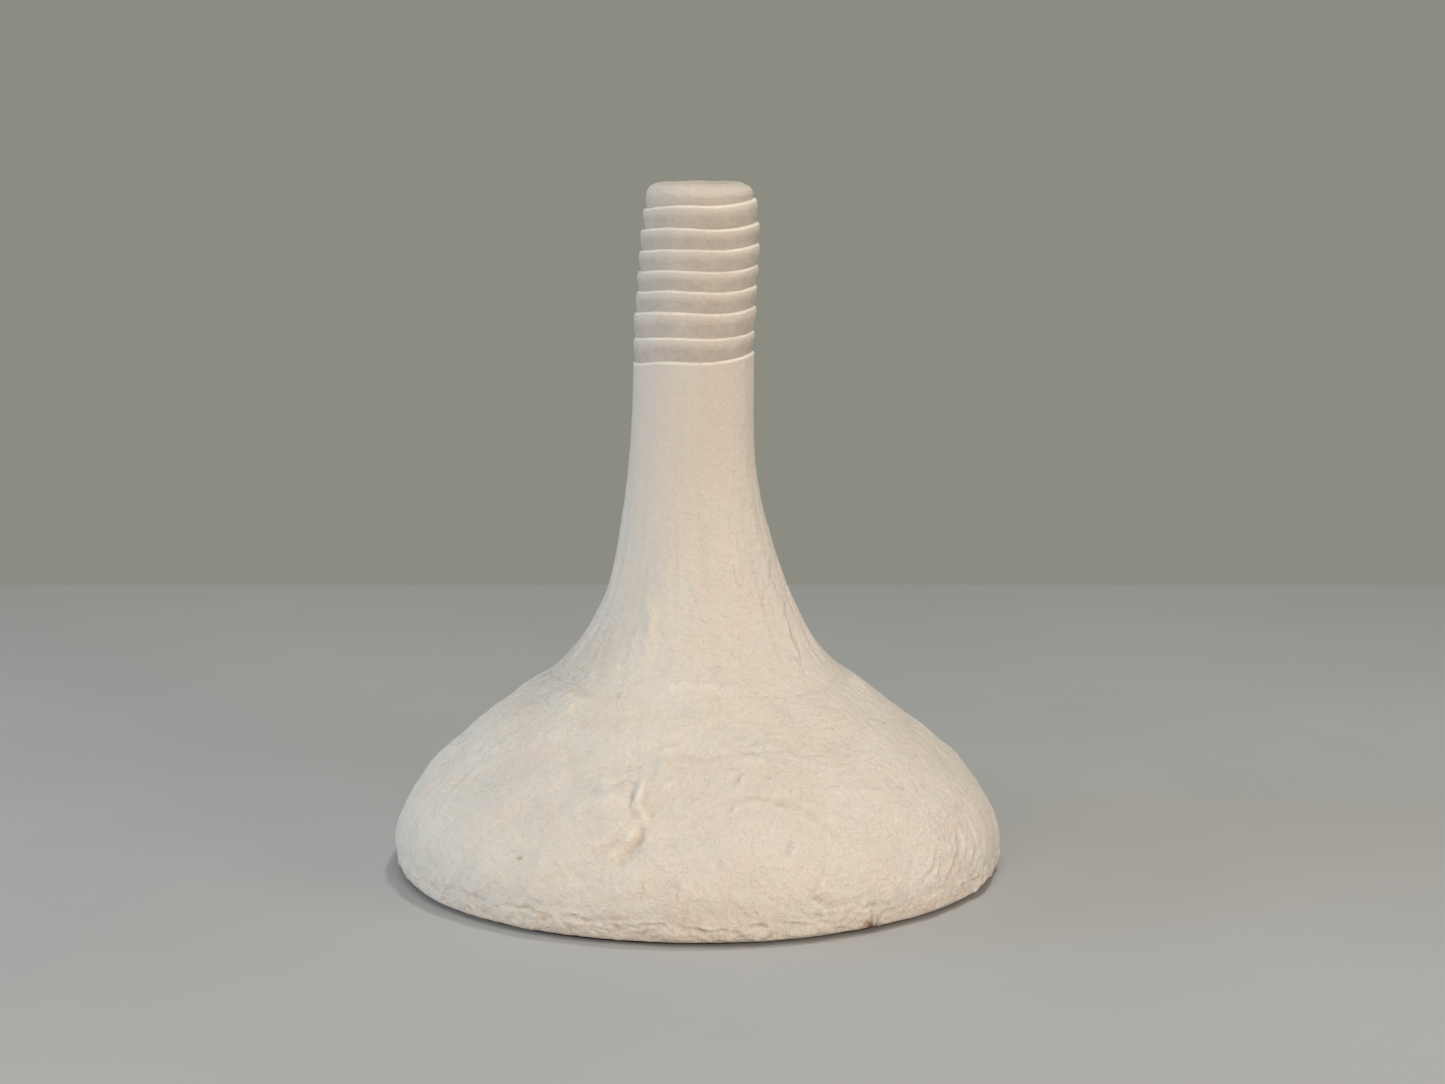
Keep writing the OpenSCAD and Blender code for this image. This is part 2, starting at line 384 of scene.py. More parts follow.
FOOT_STROKES = [
    ([(-13, 6.4), (-9.5, 5.4), (-6.5, 6.2), (-3.5, 5.0)], 0.6, -0.55, 0.3, 1),
    ([(-3, 5.4), (0.5, 4.6), (4, 5.4), (7.5, 4.6)], 0.65, -0.75, 0.35, 1),
    ([(8, 5.2), (10.5, 6.4), (13, 5.8)], 0.6, -0.5, 0.3, 0),
    ([(15, 6.4), (19, 5.4), (23, 6)], 0.6, -0.5, 0.3, 1),
    ([(-24, 7.4), (-20, 6.2), (-16, 6.8)], 0.6, -0.5, 0.3, 0),
    ([(-36, 6.8), (-31, 7.8), (-27, 6.4)], 0.6, -0.4, 0.25, 0),
    ([(30, 8.6), (34, 7.4), (38, 8.2)], 0.6, -0.4, 0.25, 0),
    ([(60, 6.4), (66, 5.4), (72, 6.4)], 0.6, -0.45, 0.3, 0),
]

ALL_LUMPS = MOUND_LUMPS + STEM_LUMPS
ALL_STROKES = MOUND_STROKES + STEM_STROKES + FOOT_STROKES


def hand_marks(points):
    """The rise of all the marks together, each worked out only near where it lies."""
    flat = shifted(points.reshape(-1, 3), size=4.5, reach=0.9, seed=80)
    total = np.zeros(len(flat))
    for azimuth, height, width, tall, rise, turn in ALL_LUMPS:
        middle = skin_frame(azimuth, height)[0]
        near = ((flat - middle) ** 2).sum(-1) < (2 * max(width, tall)) ** 2
        total[near] += lump(flat[near], azimuth, height, width, tall, rise, turn)
    for path, width, rise, edge, side in ALL_STROKES:
        places = np.array([skin_frame(*p)[0] for p in path])
        low, high = places.min(0) - 6 * width, places.max(0) + 6 * width
        near = ((flat > low) & (flat < high)).all(-1)
        if near.any():
            total[near] += stroke(flat[near], path, width, rise, edge, side)
    total *= 1.15 + 0.4 * noise(flat, size=7, seed=84)
    return total.reshape(points.shape[:-1])


# ------------------------------------------------------------------ relief of the clay


def pulled(points, azimuth, size, seed):
    """Noise drawn out up and down the stem, as fingers leave it when the clay is pulled."""
    drawn_out = around(azimuth, 30.0, points[..., 2] / 14)
    return noise(drawn_out, size, seed)


def clay_relief(points, azimuth):
    """How far the hand-worked clay stands out from the smooth outline, in millimetres."""
    height = points[..., 2]
    on_mound = ramp(height, SADDLE_Z + 7, SADDLE_Z - 5)
    on_foot = ramp(height, BELLY_Z + 5, BELLY_Z - 2)
    on_flare = ramp(height, SADDLE_Z - 3, SADDLE_Z + 5) * ramp(height, 125, 82)
    bent = shifted(points, size=10, reach=2.4, seed=90)

    # broad waves, then finger pressure that is stronger in some places than in others
    relief = 0.8 * noise(points, size=44, seed=1) * (0.35 + 0.65 * on_mound)
    stronger = 0.6 + 0.7 * noise(points, size=24, seed=93)
    pressed = 0.36 * noise(points, size=21, seed=2)
    pressed += 0.4 * layers(bent, size=12, count=4, seed=3, gain=0.55) * stronger
    relief += pressed * (0.15 + 1.4 * on_mound)

    # fine creases, pits and grain
    creased = np.clip(noise(points, size=26, seed=10) * 2, 0, 1)
    relief -= 0.28 * ridges(bent, size=17, width=0.1, seed=9) * creased * on_mound
    relief -= 0.5 * np.clip(noise(bent, size=3.4, seed=11) - 0.42, 0, 1) * on_mound
    relief += 0.05 * noise(points, size=1.9, seed=12)

    # the foot coil, pinched into flat crumbs
    crumbly = 0.3 * noise(points * np.array([1, 1, 2.2]), size=13, seed=13)
    crumbly += 0.42 * layers(bent, size=5.5, count=3, seed=14, gain=0.65)
    crumbly -= 0.35 * ridges(bent, size=8, width=0.16, seed=18)
    relief += on_foot * crumbly

    # streaks of the pulled stem
    streaks = 0.42 * pulled(points, azimuth, size=5.5, seed=15)
    streaks += 0.22 * pulled(points, azimuth, size=2.6, seed=16)
    relief += streaks * (0.25 + 0.75 * on_flare) * (1 - on_mound)

    calm_at_foot = 0.2 + 0.8 * ramp(height, GAP, GAP + 2.2)
    return relief * calm_at_foot


def sway(height):
    """The neck isn't quite straight: how far its middle is off the axis, towards +X."""
    heights = [60, 82, 95, 105, 112, 120, 130, 150, 160, 170, 181, 190, 197, HEIGHT]
    shifts = [0.1, 0.2, -0.45, -1.0, -1.25, -1.35, -1.3, -1.0, -0.6, 0.1, 0.8, 1.1, 0.8, 0.6]
    return np.interp(height, heights, shifts)


# ------------------------------------------------------------------ meshes


def grid_faces(rows, cols, closed):
    """Quads of a grid that closes round its columns, and round its rows if closed."""
    row = np.arange(rows if closed else rows - 1)[:, None]
    col = np.arange(cols)[None, :]
    up, east = (row + 1) % rows, (col + 1) % cols
    quads = np.stack(np.broadcast_arrays(
        row * cols + col, row * cols + east, up * cols + east, up * cols + col), -1)
    return quads.reshape(-1, 4)


SHARP_ANGLE = math.radians(50)


def make_mesh(name, points, faces, hollow):
    """A Blender object from points in millimetres and one array of faces for each size.

    The last argument gives each point's painted shade, or its painted highlight where it is negative.
    """
    mesh = bpy.data.meshes.new(name)
    mesh.vertices.add(len(points))
    mesh.vertices.foreach_set("co", (points * MM).astype(np.float32).ravel())
    corners = np.concatenate([group.ravel() for group in faces])
    sizes = np.concatenate([np.full(len(group), group.shape[1]) for group in faces])
    starts = np.cumsum(sizes) - sizes
    mesh.loops.add(len(corners))
    mesh.loops.foreach_set("vertex_index", corners.astype(np.int32))
    mesh.polygons.add(len(sizes))
    mesh.polygons.foreach_set("loop_start", starts.astype(np.int32))
    mesh.update(calc_edges=True)
    mesh.validate()
    mesh.shade_smooth()
    mesh.set_sharp_from_angle(angle=SHARP_ANGLE)
    # per-point painted shade: positive darkens the clay, negative paints a highlight
    attribute = mesh.attributes.new("hollow", "FLOAT", "POINT")
    attribute.data.foreach_set("value", hollow.astype(np.float32))
    made = bpy.data.objects.new(name, mesh)
    bpy.context.scene.collection.objects.link(made)
    return made


def blurred(grid, reach):
    """A grid of values averaged over `reach` cells each way, closed round its columns."""
    total = grid.copy()
    for shift in range(1, reach + 1):
        total += np.roll(grid, shift, 1) + np.roll(grid, -shift, 1)
    total /= 2 * reach + 1
    padded = np.pad(total, ((reach, reach), (0, 0)), mode="edge")
    summed = sum(padded[k:k + len(grid)] for k in range(2 * reach + 1))
    return summed / (2 * reach + 1)


def ring_piece(name, skin, relief, inside, shade=0):
    """A ring of clay: a detailed skin of rows of points, closed by plain rows inside.

    Shade is painted where the relief is lower than round about and where shade says; highlight is
    painted where the relief is higher.
    """
    rows = np.concatenate([skin, inside])
    hollow = np.zeros(rows.shape[:2])
    # painted shade in the relief's hollows and painted highlight on its bumps, plus the shade given
    hollow[:len(skin)] = 0.3 * (blurred(relief, reach=4) - relief) + shade
    faces = grid_faces(*rows.shape[:2], closed=True)
    return make_mesh(name, rows.reshape(-1, 3), [faces], hollow.ravel())


def plain_rows(section, azimuth):
    """Rows of points with no relief, for the faces hidden in a joint or inside."""
    return np.stack([around(azimuth, radius, height) for radius, height in section])


def finished(piece, node, material):
    """Puts the piece on the root in place of its CAD node, with its material."""
    piece.data.materials.append(material)
    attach(piece, "root")
    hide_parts(node)
    return piece


def kept_inside(points):
    """Draws in the few points that would stand past the CAD model's box."""
    radius = np.hypot(points[..., 0], points[..., 1])
    scale = np.minimum(1, (BELLY_LIMIT - 0.02) / np.maximum(radius, 1e-6))
    points[..., :2] *= scale[..., None]
    points[..., 2] = np.clip(points[..., 2], 0, HEIGHT)
    return points


def belly_seam(azimuth):
    """The wandering line where the foot coil meets the mound, along the outline."""
    ring = around(azimuth, BELLY_R, 0.0)
    return RUN_BELLY - 0.6 + 0.9 * noise(ring, 26, 30) + 0.5 * noise(ring, 9, 31)


def saddle_seam(azimuth):
    """The wandering line where the stem's foot meets the mound, along the outline."""
    ring = around(azimuth, SADDLE_R, 0.0)
    return RUN_SADDLE - 0.4 + 2.2 * noise(ring, 30, 32) + 0.9 * noise(ring, 9, 33)


def rows_between(low, high, count):
    """Rows of distances along the outline, from one wandering line to another."""
    t = np.linspace(0, 1, count)[:, None]
    return low + (high - low) * t


def seam_line(run, seam, azimuth, depth, width, seed):
    """A shallow, broken groove along a seam."""
    ring = around(azimuth, 60.0, 0.0)
    strength = np.clip(0.35 + 0.9 * noise(ring, 12, seed), 0, 1)
    return -depth * strength * np.exp(-((run - seam) / width) ** 2)


def worked_skin(run, azimuth):
    """Points of the skin at distances `run` along the outline, and how far they stand out."""
    radius, height, n_r, n_z = outline_at(run)
    smooth = around(azimuth, radius, height)
    relief = clay_relief(smooth, azimuth) + hand_marks(smooth)
    relief += seam_line(run, belly_seam(azimuth), azimuth, depth=0.35, width=0.8, seed=40)
    relief += seam_line(run, saddle_seam(azimuth) - 1, azimuth, depth=0.5, width=2.2, seed=41)
    points = smooth + around(azimuth, n_r, n_z) * relief[..., None]
    return kept_inside(points), relief


# ------------------------------------------------------------------ clay pieces

# The inside, from the floor up: the cove round it, the underside of the dome, the throat
COVE_R = BELLY_LIMIT - 8
COVE_Z = SLAB_T + 10
ROOF_R = SADDLE_R - 4.5
ROOF_Z = SADDLE_Z - 6.6
COVE = bezier([[COVE_R - 11, SLAB_T], [COVE_R - 6, SLAB_T],
               [COVE_R - 1, COVE_Z - 6], [COVE_R, COVE_Z]], 5)
VAULT = bezier([[COVE_R, COVE_Z], [COVE_R, COVE_Z + 3],
                [COVE_R - 1.6, COVE_Z + 9], [ROOF_R, ROOF_Z]], 8)
THROAT = bezier([[ROOF_R, ROOF_Z], [ROOF_R - 19, ROOF_Z + 14.6],
                 [BORE_R, ROOF_Z + 44], [BORE_R, GROOVES[0]]], 20)
THROAT_AT_COLLAR = np.interp(COLLAR_Z, THROAT[:, 1], THROAT[:, 0])
CLOSE = 0.3                        # throat rows nearer than this to the collar's top are left out

# Columns of points round each piece and rows up its skin. The export thins a piece of
# more than 200,000 triangles, and none of these has that many.
FOOT_COLS, FOOT_ROWS = 1200, 34
MOUND_COLS, MOUND_ROWS = 900, 88
STEM_COLS, STEM_ROWS, STEM_RIM_ROWS = 660, 112, 14
BAND_COLS, BAND_FACE_ROWS, BAND_SHOULDER_ROWS = 480, 18, 22
SLAB_COLS, SLAB_ROWS = 240, 60
GLAZE_COLS = 180


def foot_coil(material):
    """The coil round the foot, pinched into crumbs, with a dark gap under its edge."""
    azimuth = all_round(FOOT_COLS)
    run = rows_between(0.0, belly_seam(azimuth), FOOT_ROWS)
    skin, relief = worked_skin(run, azimuth)
    skin[0, :, 2] = 0
    inside = plain_rows([(SLAB_R, BELLY_Z), (SLAB_R, BELLY_Z / 2), (SLAB_R, 0)], azimuth)
    piece = ring_piece("foot_coil_clay", skin, relief, inside)
    return finished(piece, "foot_coil", material)


def mound_wall(material):
    """The mound, empty inside, from the foot coil up to the collar inside the stem's foot."""
    azimuth = all_round(MOUND_COLS)
    run = rows_between(belly_seam(azimuth), saddle_seam(azimuth), MOUND_ROWS)
    skin, relief = worked_skin(run, azimuth)
    throat = THROAT[THROAT[:, 1] < COLLAR_Z - CLOSE]
    section = np.concatenate([
        [(COLLAR_R, SADDLE_Z), (COLLAR_R, COLLAR_Z), (THROAT_AT_COLLAR, COLLAR_Z)],
        throat[:0:-1], VAULT[::-1], COVE[-2::-1],
        [(SLAB_R, SLAB_T), (SLAB_R, BELLY_Z)]])
    piece = ring_piece("mound_wall_clay", skin, relief, plain_rows(section, azimuth))
    return finished(piece, "mound_wall", material)


def swayed(points):
    """Points moved sideways as the neck sways."""
    moved = points.copy()
    moved[..., 0] += sway(points[..., 2])
    return moved


def groove_line(index, azimuth):
    """Height of a groove all round: sloping, and a little uneven."""
    ring = around(azimuth, 17.0, 40.0 * index)
    wobble = 0.16 * noise(ring, 13, 50 + index) + 0.08 * noise(ring, 5, 60 + index)
    a = np.radians(azimuth)
    slope = GROOVE_RISE[index] * np.sin(a) - GROOVE_BEND * np.sin(3 * a)
    return GROOVES[index] + slope + wobble


def flared_stem(material):
    """The stem: its rows lie closer at the top, where its rim is rounded and carries a painted
    highlight.
    """
    azimuth = all_round(STEM_COLS)
    rim_run, rim_round, rim_inset = 1.6, 0.8, 0.6
    slope_from = 118
    below = rows_between(saddle_seam(azimuth), RUN_NECK - rim_run, STEM_ROWS)
    closer = RUN_NECK - rim_run * np.linspace(1, 0, STEM_RIM_ROWS)[1:, None] ** 1.5
    run = np.concatenate([below, closer + 0 * azimuth])
    skin, relief = worked_skin(run, azimuth)
    top = groove_line(0, azimuth)
    skin[..., 2] += (top - GROOVES[0]) * ramp(skin[..., 2], slope_from, GROOVES[0])
    into_rim = np.clip((run - RUN_NECK + rim_round) / rim_round, 0, 1)
    rim = rim_inset * (1 - np.sqrt(1 - into_rim ** 2))
    skin[..., :2] *= (1 - rim / NECK_R)[..., None]
    foot_r = BAND_R[0] - FOOT_INSET
    seat = np.stack([around(azimuth, foot_r, top), around(azimuth, foot_r, top - LAP),
                     around(azimuth, BORE_R, top - LAP)])
    throat = THROAT[THROAT[:, 1] > COLLAR_Z + CLOSE][:-4]
    section = np.concatenate([
        throat[::-1], [(THROAT_AT_COLLAR, COLLAR_Z), (COLLAR_R, COLLAR_Z), (COLLAR_R, SADDLE_Z)]])
    inside = np.concatenate([seat, plain_rows(section, azimuth)])
    # painted highlight along the top rim
    shade = -0.25 * ramp(run, RUN_NECK - 1.1, RUN_NECK - 0.4)
    piece = ring_piece("flared_stem_clay", swayed(skin), relief, swayed(inside), shade)
    return finished(piece, "flared_stem", material)


def band_profile():
    """A band's face as [inset, share of its height]: it swells upwards, then rounds in."""
    widest = 0.7
    face = bezier([[0.66, 0], [0.4, 0.25], [0.04, 0.5], [0, widest]], BAND_FACE_ROWS)
    shoulder = bezier([[0, widest], [0.02, 0.88], [0.18, 0.98], [0.68, 1]], BAND_SHOULDER_ROWS)
    return np.concatenate([face, shoulder[1:]])


def band_relief(points, azimuth, seed):
    """Uneven finger pressure round a band, with fine wiping lines along it."""
    along = points * np.array([1, 1, 5])
    across = around(azimuth, 17.0, points[..., 2] / 5)
    relief = 0.16 * noise(points, 15, seed) + 0.09 * noise(points, 7, seed + 1)
    relief += 0.09 * noise(along, 7, seed + 2) + 0.06 * noise(along, 3, seed + 3)
    relief += 0.05 * noise(across, 3.4, seed + 4) + 0.03 * noise(points, 1.5, seed + 5)
    return relief


def neck_band(index, material):
    """Band `index`, counted from 0 at the bottom of the neck."""
    azimuth = all_round(BAND_COLS)
    low, high = groove_line(index, azimuth), groove_line(index + 1, azimuth)
    inset, u = band_profile().T[..., None]
    radius = BAND_R[index] - inset + 0 * azimuth
    height = low + (high - low) * u
    smooth = around(azimuth, radius, height)
    calm_at_edges = np.sin(np.pi * u) ** 0.5 * 0.8 + 0.2
    relief = band_relief(smooth, azimuth, 70 + 7 * index) * calm_at_edges
    skin = around(azimuth, radius + relief, height)
    foot_r = BAND_R[index] - FOOT_INSET
    next_r = (BAND_R + [LIP_R])[index + 1] - FOOT_INSET
    inside = np.stack([
        around(azimuth, next_r, high), around(azimuth, next_r, high - LAP),
        around(azimuth, BORE_R, high - LAP), around(azimuth, BORE_R, low - LAP),
        around(azimuth, foot_r, low - LAP), around(azimuth, foot_r, low)])
    # painted shade over the lower part of each band and a painted highlight along its shoulder, uneven
    # round the band
    uneven_shade = 0.9 + 0.25 * noise(smooth, 6, 200 + index) + 0.22 * noise(smooth, 2.2, 220 + index)
    shade = uneven_shade * (0.42 * ramp(u, 0.92, 0.4) - 0.32 * ramp(u, 0.84, 0.95))
    piece = ring_piece(f"{BAND_NODES[index]}_clay", swayed(skin), relief, swayed(inside), shade)
    return finished(piece, BAND_NODES[index], material)


def lip_band(material):
    """The lip: its foot follows the sloping groove, and its top is level."""
    azimuth = all_round(BAND_COLS)
    index = len(BAND_NODES)
    low = groove_line(index, azimuth)
    base = GROOVES[index]
    side_r, side_z = LIP_R - 0.2, base + 2.6
    crest_r = BORE_R + 1.6
    side = bezier([[LIP_R - 0.5, base], [LIP_R - 0.2, base + 0.9],
                   [LIP_R, base + 2], [side_r, side_z]], 20)
    corner = bezier([[side_r, side_z], [LIP_R - 0.7, HEIGHT - 0.9],
                     [LIP_R - 2.6, HEIGHT], [crest_r, HEIGHT]], 34)
    mouth = bezier([[crest_r, HEIGHT], [BORE_R + 0.7, HEIGHT],
                    [BORE_R, HEIGHT - 0.7], [BORE_R, HEIGHT - 1.6]], 14)
    line = np.concatenate([side, corner[1:], mouth[1:]])
    slope = ramp(line[:, 1], HEIGHT - 0.6, base) * (line[:, 0] > crest_r)
    smooth = around(azimuth, line[:, :1] + 0 * azimuth, line[:, 1:])
    smooth[..., 2] += (low - base) * slope[:, None]
    relief = band_relief(smooth, azimuth, 140)
    edge = np.gradient(line, axis=0)
    edge /= np.linalg.norm(edge, axis=1, keepdims=True)
    normal = around(azimuth, edge[:, 1:] + 0 * azimuth, -edge[:, :1])
    sunk = relief - 0.3 * ramp(line[:, 1], HEIGHT - 2, HEIGHT)[:, None]
    skin = kept_inside(smooth + normal * sunk[..., None])
    foot_r = LIP_R - FOOT_INSET
    inside = np.stack([around(azimuth, BORE_R, low - LAP), around(azimuth, foot_r, low - LAP),
                       around(azimuth, foot_r, low)])
    # painted shade, darker towards the lip's foot
    shade = 0.26 * ramp(line[:, 1:], base + 4.2, base + 1.2)
    piece = ring_piece("lip_band_clay", swayed(skin), relief, swayed(inside), shade)
    return finished(piece, "lip_band", material)


def disc_piece(name, rows, hollow):
    """A closed form of rings that run from a pole at the first row to one at the last."""
    cols = rows.shape[1]
    points = np.concatenate([rows.reshape(-1, 3), [rows[0].mean(0)], [rows[-1].mean(0)]])
    first, last = len(points) - 2, len(points) - 1
    here = np.arange(cols)
    beside = (here + 1) % cols
    end = (len(rows) - 1) * cols
    start_fan = np.stack([beside, here, np.full(cols, first)], -1)
    end_fan = np.stack([end + here, end + beside, np.full(cols, last)], -1)
    faces = [grid_faces(*rows.shape[:2], closed=False), start_fan, end_fan]
    return make_mesh(name, points, faces, np.concatenate([hollow.ravel(), [0, 0]]))


def floor_slab(material):
    """The slab: its underside keeps the faint arcs of the wire that cut it."""
    azimuth = all_round(SLAB_COLS)
    radii = np.linspace(3, SLAB_R - 0.4, SLAB_ROWS)[:, None]
    under = around(azimuth, radii + 0 * azimuth, 0.0)
    from_hand = np.hypot(under[..., 0] + 130, under[..., 1] - 60)
    arcs = 0.16 + 0.16 * np.sin(from_hand / 1.1)
    arcs = arcs * ramp(radii, SLAB_R - 1, SLAB_R - 9) + 0.15 * np.abs(noise(under, 20, 90))
    under[..., 2] = arcs
    side = plain_rows([(SLAB_R, 0.5), (SLAB_R, SLAB_T)], azimuth)
    top = around(azimuth, radii[::-2] + 0 * azimuth, SLAB_T)
    rows = np.concatenate([under, side, top])
    hollow = np.zeros(rows.shape[:2])
    # the same painted shade: darker in the hollows of the wire's arcs, paler where the underside
    # stands lowest
    hollow[:len(under)] = arcs - 0.2
    piece = disc_piece("floor_slab_clay", rows, hollow)
    return finished(piece, "floor_slab", material)


def liner_glaze(material):
    """The coat of glaze inside, from the floor to just under the lip."""
    azimuth = all_round(GLAZE_COLS)
    thick, edge = 0.5, 0.4
    top = HEIGHT - 4
    floor_rows = [[10.0, SLAB_T], [40.0, SLAB_T]]
    clay = np.concatenate([floor_rows, COVE, VAULT[1:], THROAT[1:], [[BORE_R, top]]])
    glaze = clay.copy()
    glaze[len(floor_rows):, 0] -= thick
    glaze[:, 1] = np.maximum(glaze[:, 1], SLAB_T + thick)
    glaze[-1] = (BORE_R - edge, top - edge)
    rows = swayed(np.concatenate([plain_rows(clay, azimuth), plain_rows(glaze[::-1], azimuth)]))
    piece = disc_piece("liner_glaze_coat", rows, np.zeros(rows.shape[:2]))
    return finished(piece, "liner_glaze", material)


# ------------------------------------------------------------------ materials


class Nodes:
    """Short ways to add and join the nodes of one material."""

    def __init__(self, name):
        self.material = bpy.data.materials.new(name)
        self.material.use_nodes = True
        self.tree = self.material.node_tree
        self.shader = self.tree.nodes["Principled BSDF"]

    def add(self, kind, **settings):
        node = self.tree.nodes.new(kind)
        for key, value in settings.items():
            setattr(node, key, value)
        return node

    def join(self, source, target):
        self.tree.links.new(source, target)

    def place(self):
        """The place on the piece, in metres."""
        return self.add("ShaderNodeTexCoord").outputs["Object"]

    def noise(self, source, size, detail=4.0, roughness=0.55):
        """A noise texture with features about `size` millimetres across."""
        node = self.add("ShaderNodeTexNoise")
        node.inputs["Scale"].default_value = 1 / (size * MM)
        node.inputs["Detail"].default_value = detail
        node.inputs["Roughness"].default_value = roughness
        self.join(source, node.inputs["Vector"])
        return node.outputs["Fac"]

    def times(self, first, second):
        """Two values multiplied."""
        node = self.add("ShaderNodeMath", operation="MULTIPLY")
        self.join(first, node.inputs[0])
        self.join(second, node.inputs[1])
        return node.outputs["Value"]

    def drawn_out(self, source, along):
        """The place squeezed up and down, so that what is drawn on it becomes streaks."""
        node = self.add("ShaderNodeVectorMath", operation="MULTIPLY")
        node.inputs[1].default_value = (1, 1, 1 / along)
        self.join(source, node.inputs[0])
        return node.outputs["Vector"]

    def away_from(self, source, point):
        """Distance in metres from a point, itself in millimetres."""
        node = self.add("ShaderNodeVectorMath", operation="DISTANCE")
        node.inputs[1].default_value = tuple(float(v) * MM for v in point)
        self.join(source, node.inputs[0])
        return node.outputs["Value"]

    def height(self, source):
        """The height of a place above the table, in metres."""
        node = self.add("ShaderNodeSeparateXYZ")
        self.join(source, node.inputs["Vector"])
        return node.outputs["Z"]

    def remap(self, source, low, high, to_low=0.0, to_high=1.0):
        """A value moved from the range low to high to the range to_low to to_high."""
        node = self.add("ShaderNodeMapRange")
        node.inputs["From Min"].default_value = low
        node.inputs["From Max"].default_value = high
        node.inputs["To Min"].default_value = to_low
        node.inputs["To Max"].default_value = to_high
        self.join(source, node.inputs["Value"])
        return node.outputs["Result"]

    def mix(self, amount, first, second):
        """A colour between two others, each a colour or a socket."""
        node = self.add("ShaderNodeMix", data_type="RGBA")
        self.join(amount, node.inputs["Factor"])
        for key, value in (("A", first), ("B", second)):
            socket = [s for s in node.inputs if s.name == key and s.type == "RGBA"][0]
            if isinstance(value, tuple):
                socket.default_value = (*value, 1)
            else:
                self.join(value, socket)
        return [s for s in node.outputs if s.type == "RGBA"][0]

    def bump(self, height, distance, strength, normal=None):
        """Relief of up to `distance` millimetres, on top of another if one is given."""
        node = self.add("ShaderNodeBump")
        node.inputs["Distance"].default_value = distance * MM
        node.inputs["Strength"].default_value = strength
        self.join(height, node.inputs["Height"])
        if normal:
            self.join(normal, node.inputs["Normal"])
        return node.outputs["Normal"]


CREAM = (0.71, 0.64, 0.54)
PINK = (0.70, 0.61, 0.53)
PALE = (0.74, 0.69, 0.61)
GREY = (0.62, 0.59, 0.53)
YELLOW = (0.73, 0.65, 0.53)
SAND = (0.58, 0.53, 0.46)
ROSY = (0.60, 0.53, 0.46)
# colours of the painted shade and the painted highlight
SHADE_PAINT = (0.44, 0.385, 0.33)
HIGHLIGHT_PAINT = (0.86, 0.79, 0.69)
TOASTED = (0.22, 0.12, 0.06)
CONTACT_SHADOW_PAINT = (0.05, 0.035, 0.03)
# near-black of the painted contact shadow under the foot
SPECK = (0.34, 0.28, 0.22)
GLAZE_DARK = (0.52, 0.49, 0.4)
GLAZE_PALE = (0.6, 0.56, 0.45)
FLOOR_DARK = (0.40, 0.40, 0.39)
FLOOR_PALE = (0.46, 0.46, 0.45)
BURR = (33.1, 87.2, 1.5)           # azimuth, radius and height of a toasted burr at the foot


def stoneware():
    """Bare, matte stoneware: sandy grain, faint blushes, painted shade in hollows and highlight on
    ledges.

    The stem is streaked and rosier than the mound, and the neck has a finer grain.
    Heights and distances are compared in metres.
    """
    n = Nodes("bare_stoneware")
    place = n.place()
    colour = n.mix(n.remap(n.noise(place, 26, 3), 0.38, 0.62), CREAM, PINK)
    colour = n.mix(n.remap(n.noise(place, 14, 4), 0.45, 0.7, 0, 0.8), colour, PALE)
    colour = n.mix(n.remap(n.noise(place, 7, 5), 0.48, 0.7, 0, 0.6), colour, GREY)
    height = n.height(place)
    on_stem = n.times(n.remap(height, 0.060, 0.085), n.remap(height, 0.150, 0.135))
    streaks = n.noise(n.drawn_out(place, 12), 5, 3, 0.6)
    colour = n.mix(n.times(n.remap(streaks, 0.45, 0.65, 0, 0.7), on_stem), colour, YELLOW)
    colour = n.mix(n.times(n.remap(streaks, 0.45, 0.3, 0, 0.5), on_stem), colour, GREY)
    # darker and rosier towards the top
    colour = n.mix(n.remap(height, 0.06, 0.13, 0, 0.7), colour, ROSY)
    hollow = n.add("ShaderNodeAttribute", attribute_name="hollow").outputs["Fac"]
    # painted shade where the attribute is positive, painted highlight where it is negative
    colour = n.mix(n.remap(hollow, 0.02, 0.4, 0, 0.95), colour, SHADE_PAINT)
    colour = n.mix(n.remap(hollow, -0.02, -0.25, 0, 0.9), colour, HIGHLIGHT_PAINT)
    mottle = n.remap(n.noise(place, 1.5, 4, 0.7), 0.35, 0.65, 0, 0.3)
    colour = n.mix(mottle, colour, SAND)
    speck = n.remap(n.noise(place, 0.9, 1.0), 0.74, 0.8, 0, 0.25)
    colour = n.mix(speck, colour, SPECK)
    burr = n.remap(n.away_from(place, around(*BURR)), 0.0042, 0.001)
    ragged = n.remap(n.noise(place, 1.2, 3), 0.35, 0.5)
    colour = n.mix(n.times(burr, ragged), colour, TOASTED)
    # painted contact shadow: the clay turns near black below 0.9 mm, inside the gap under the foot
    colour = n.mix(n.remap(height, 0.0009, 0.0006), colour, CONTACT_SHADOW_PAINT)
    n.join(colour, n.shader.inputs["Base Color"])
    n.join(n.remap(n.noise(place, 5, 3), 0.3, 0.7, 0.8, 0.93), n.shader.inputs["Roughness"])
    n.shader.inputs["Specular IOR Level"].default_value = 0.3
    smoother = n.remap(height, 0.070, 0.115, 1, 0.55)
    sand = n.bump(n.noise(place, 0.6, 3.0, 0.6), 0.4, 0.8)
    grain = n.bump(n.times(n.noise(place, 2.6, 4.0, 0.65), smoother), 1.6, 0.9, sand)
    n.join(grain, n.shader.inputs["Normal"])
    return n.material


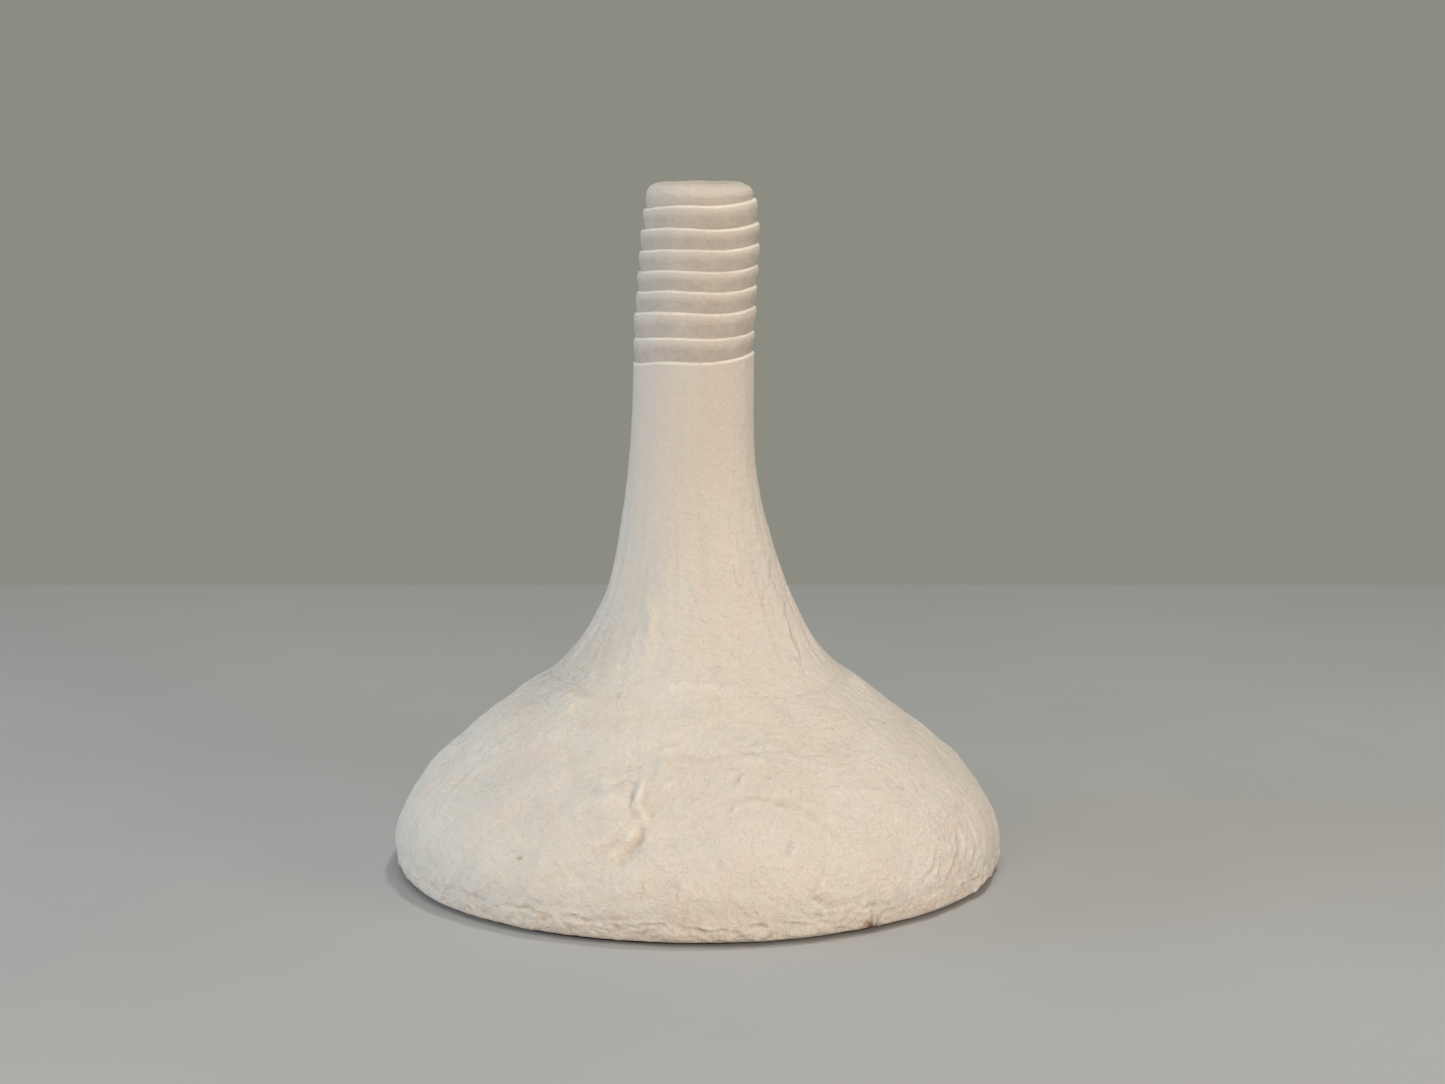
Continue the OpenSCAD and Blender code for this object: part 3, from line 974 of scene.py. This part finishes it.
def glaze():
    """Thin satin glaze over the clay inside."""
    n = Nodes("satin_liner_glaze")
    place = n.place()
    colour = n.mix(n.remap(n.noise(place, 9, 3), 0.4, 0.65), GLAZE_DARK, GLAZE_PALE)
    n.join(colour, n.shader.inputs["Base Color"])
    n.join(n.remap(n.noise(place, 4, 2), 0.3, 0.7, 0.18, 0.3), n.shader.inputs["Roughness"])
    n.join(n.bump(n.noise(place, 2.5, 2), 0.05, 0.3), n.shader.inputs["Normal"])
    return n.material


def table_paint():
    """Plain pale floor."""
    n = Nodes("pale_floor")
    place = n.place()
    colour = n.mix(n.noise(place, 120, 3), FLOOR_DARK, FLOOR_PALE)
    n.join(colour, n.shader.inputs["Base Color"])
    n.shader.inputs["Roughness"].default_value = 0.8
    return n.material


# ------------------------------------------------------------------ stage, light, camera


def floor():
    """A table top whose far edge is a little way behind the vase."""
    wide, front, back, thick = 1.6, -1.6, 0.479, 0.02
    corners = [(x, y, z) for z in (-thick, 0) for x, y in
               ((-wide, front), (wide, front), (wide, back), (-wide, back))]
    sides = [(3, 2, 1, 0), (4, 5, 6, 7), (0, 1, 5, 4), (1, 2, 6, 5), (2, 3, 7, 6), (3, 0, 4, 7)]
    mesh = bpy.data.meshes.new("table_top")
    mesh.from_pydata(corners, [], sides)
    table = bpy.data.objects.new("table_top", mesh)
    mesh.materials.append(table_paint())
    bpy.context.scene.collection.objects.link(table)


LIT_HEIGHT = 0.08                  # the lights face this height, in metres


def soft_light(name, azimuth, distance, height, size, power, colour):
    """An area light `distance` metres from the axis and `height` metres up."""
    a = math.radians(azimuth)
    place = np.array([distance * math.sin(a), -distance * math.cos(a), height])
    target = np.array([0, 0, LIT_HEIGHT])
    light = bpy.data.lights.new(name, "AREA")
    light.shape = "RECTANGLE"
    light.size, light.size_y = size
    light.energy = power
    light.color = colour
    lamp = bpy.data.objects.new(name, light)
    lamp.location = place
    lamp.visible_camera = False
    aim = (target - place) / np.linalg.norm(target - place)
    lamp.rotation_euler = (math.acos(-aim[2]), 0, math.atan2(-aim[0], aim[1]))
    bpy.context.scene.collection.objects.link(lamp)


def lights():
    """Three soft lights low round the front, two high above, and a dim, even room."""
    soft_light("front", -10, 0.95, 0.2, (0.5, 0.3), 3.0, (1.0, 0.82, 0.64))
    soft_light("right", 50, 0.95, 0.22, (0.5, 0.3), 3.9, (1.0, 0.91, 0.86))
    soft_light("left", -80, 0.95, 0.2, (0.5, 0.3), 4.7, (0.56, 0.75, 1.0))
    soft_light("overhead", 0, 0.5, 1.4, (0.5, 0.5), 3.9, (0.96, 0.96, 1.0))
    soft_light("lamp", 105, 0.33, 1.5, (0.16, 0.16), 5.8, (0.98, 0.97, 0.96))
    world = bpy.data.worlds.new("room")
    world.use_nodes = True
    background = world.node_tree.nodes["Background"]
    background.inputs["Color"].default_value = (0.262, 0.262, 0.222, 1)
    background.inputs["Strength"].default_value = 1.0
    bpy.context.scene.world = world
    bpy.context.scene.view_settings.view_transform = "Standard"


def camera():
    """Where the photographer stood: a little above the lip, looking slightly down."""
    looking_down = math.radians(9.03)
    view = bpy.data.cameras.new("camera")
    view.sensor_width = 36
    view.lens = 74.74
    view.clip_start = 0.05
    eye = bpy.data.objects.new("camera", view)
    eye.location = (0.00736, -0.861, 0.2326)
    eye.rotation_euler = (math.pi / 2 - looking_down, 0, 0)
    bpy.context.scene.collection.objects.link(eye)
    bpy.context.scene.camera = eye


# ------------------------------------------------------------------ the vase

camera()
floor()
lights()
clay = stoneware()
floor_slab(clay)
foot_coil(clay)
mound_wall(clay)
flared_stem(clay)
for number in range(len(BAND_NODES)):
    neck_band(number, clay)
lip_band(clay)
liner_glaze(glaze())
